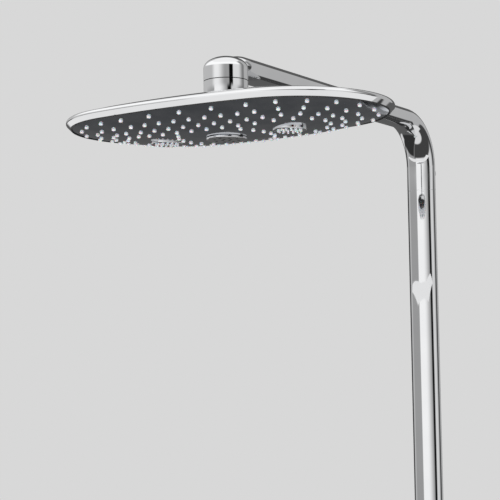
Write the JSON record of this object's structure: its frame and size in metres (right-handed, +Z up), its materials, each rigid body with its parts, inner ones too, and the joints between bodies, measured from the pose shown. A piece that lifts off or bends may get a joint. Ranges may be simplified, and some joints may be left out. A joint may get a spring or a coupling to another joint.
{
  "type": "rainfall shower column",
  "caption": "Oval rain shower head on a long straight arm that bends down into a slim oval wall column over a thermostatic mixer with a shelf.",
  "frame": {"origin": "on the wall plane, midway between the two water inlets", "axes": "+X right along the wall, +Y into the wall, +Z up the column"},
  "size_m": [0.36, 0.606, 1.1209],
  "materials": {
    "chrome": "mirror-polished chrome plate",
    "face_chrome": "mirror-polished chrome spray face",
    "silicone": "pale grey silicone",
    "rubber_seal": "matt",
    "inner_plastic": "moulded",
    "water_tube": "extruded tube",
    "brass": "machined",
    "steel": "stainless",
    "shelf_glass": "polished pale panel",
    "grey_plastic": "smooth"
  },
  "bodies": {
    "root": {"arm_casting": "chrome", "ball_stud": "brass", "bracket_bolt": "steel", "bracket_screw": "steel", "button_spring_left": "steel", "button_spring_right": "steel", "case_screws": "steel", "check_valve_left": "inner_plastic", "check_valve_right": "inner_plastic", "column_foot": "chrome", "column_screws": "steel", "column_spigot": "chrome", "column_tube": "chrome", "escutcheon_left": "chrome", "escutcheon_right": "chrome", "flow_cartridge_left": "brass", "flow_cartridge_right": "brass", "hose_outlet": "brass", "hub_collar": "chrome", "mixer_housing": "chrome", "shelf_frame": "inner_plastic", "shelf_panel": "shelf_glass", "thermostat_cartridge": "brass", "union_filter_seal_left": "rubber_seal", "union_filter_seal_right": "rubber_seal", "union_nut_left": "chrome", "union_nut_right": "chrome", "valve_body": "brass", "wall_bracket": "chrome", "wall_union_left": "brass", "wall_union_right": "brass", "waterway_massage": "water_tube", "waterway_rain": "water_tube"},
    "ball_seat": {"ball_seat": "inner_plastic"},
    "head": {"centre_plate": "chrome", "chamber_cover": "inner_plastic", "chamber_screws": "steel", "chamber_seal": "rubber_seal", "distributor_plate": "inner_plastic", "face_seal": "rubber_seal", "head_shell": "chrome", "massage_insert_left": "chrome", "massage_insert_right": "chrome", "massage_tips": "silicone", "rain_nozzles": "silicone", "spray_face": "face_chrome", "swivel_socket": "chrome", "turbine_pins": "steel"},
    "turbine_left": {"turbine_left": "inner_plastic"},
    "turbine_centre": {"turbine_centre": "inner_plastic"},
    "turbine_right": {"turbine_right": "inner_plastic"},
    "temperature_knob": {"temperature_knob": "chrome", "thermostat_spindle": "steel"},
    "stop_button": {"stop_button": "grey_plastic"},
    "flow_ring_left": {"flow_ring_left": "chrome"},
    "flow_button_left": {"flow_button_left": "chrome", "push_rod_left": "steel"},
    "flow_ring_right": {"flow_ring_right": "chrome"},
    "flow_button_right": {"flow_button_right": "chrome", "push_rod_right": "steel"}
  },
  "joints": [
    {"name": "head_tilt", "type": "hinge", "parent": "root", "child": "ball_seat", "pos_m": [0, -0.48, 1.034], "axis": [1, 0, 0], "range_deg": [-12, 12]},
    {"name": "head_turn", "type": "hinge", "parent": "ball_seat", "child": "head", "pos_m": [0, -0.48, 1.034], "axis": [0, 0, 1], "range_deg": [-45, 45]},
    {"name": "turbine_left_spin", "type": "hinge", "parent": "head", "child": "turbine_left", "pos_m": [-0.075, -0.48, 1], "axis": [0, 0, 1], "continuous": true},
    {"name": "turbine_centre_spin", "type": "hinge", "parent": "head", "child": "turbine_centre", "pos_m": [0, -0.48, 1], "axis": [0, 0, 1], "continuous": true},
    {"name": "turbine_right_spin", "type": "hinge", "parent": "head", "child": "turbine_right", "pos_m": [0.075, -0.48, 1], "axis": [0, 0, 1], "continuous": true},
    {"name": "temperature_turn", "type": "hinge", "parent": "root", "child": "temperature_knob", "pos_m": [0, -0.1145, -0.002], "axis": [0, -1, 0], "range_deg": [-150, 120]},
    {"name": "stop_press", "type": "slide", "parent": "temperature_knob", "child": "stop_button", "axis": [0, 0, -1], "range_m": [0, 0.002], "stiffness_N_per_m": 400, "springref_m": -0.002},
    {"name": "flow_left_turn", "type": "hinge", "parent": "root", "child": "flow_ring_left", "pos_m": [-0.096, -0.1145, -0.002], "axis": [0, -1, 0], "range_deg": [-135, 135]},
    {"name": "flow_left_press", "type": "slide", "parent": "root", "child": "flow_button_left", "axis": [0, 1, 0], "range_m": [0, 0.0035], "stiffness_N_per_m": 600, "springref_m": -0.004, "deforming": ["button_spring_left"]},
    {"name": "flow_right_turn", "type": "hinge", "parent": "root", "child": "flow_ring_right", "pos_m": [0.096, -0.1145, -0.002], "axis": [0, -1, 0], "range_deg": [-135, 135]},
    {"name": "flow_right_press", "type": "slide", "parent": "root", "child": "flow_button_right", "axis": [0, 1, 0], "range_m": [0, 0.0035], "stiffness_N_per_m": 600, "springref_m": -0.004, "deforming": ["button_spring_right"]}
  ]
}
